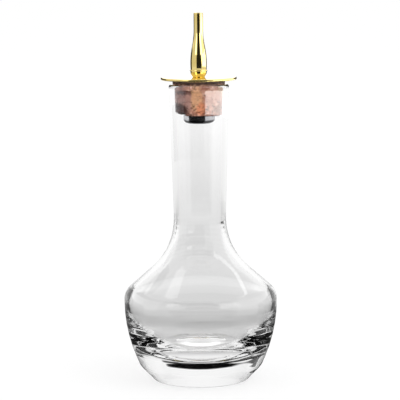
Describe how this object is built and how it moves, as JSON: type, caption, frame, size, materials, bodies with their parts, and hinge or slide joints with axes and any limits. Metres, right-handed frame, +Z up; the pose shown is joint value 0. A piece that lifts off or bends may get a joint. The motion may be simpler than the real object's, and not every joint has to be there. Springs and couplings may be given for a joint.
{
  "type": "bitters bottle",
  "caption": "Clear glass bottle with a heavy base, squat body and long neck, closed by a tapered cork that carries a metal disc and a fine tapered spout.",
  "frame": {"origin": "centre of the bottle's foot, on the surface that it stands on", "axes": "+Z up along the bottle's axis, towards the spout; the part is round about Z, but for the hex nut inside the neck"},
  "size_m": [0.0602, 0.06, 0.1444],
  "materials": {
    "glass": "clear, fire-polished",
    "cork": "natural cork, stained by use",
    "gold_metal": "polished",
    "steel": "polished"
  },
  "bodies": {
    "bottle": {"bottle": "glass"},
    "stopper": {"cork": "cork"},
    "dasher": {"flange_plate": "gold_metal", "spout_foot": "gold_metal", "spout_nozzle": "gold_metal", "stem_tube": "steel", "clamp_nut": "steel"}
  },
  "joints": [
    {"name": "stopper_lift", "type": "slide", "parent": "bottle", "child": "stopper", "axis": [0, 0, 1], "range_m": [0, 0.03]},
    {"name": "spout_turn", "type": "hinge", "parent": "stopper", "child": "dasher", "pos_m": [0, 0, 0.1184], "axis": [0, 0, 1], "continuous": true}
  ]
}
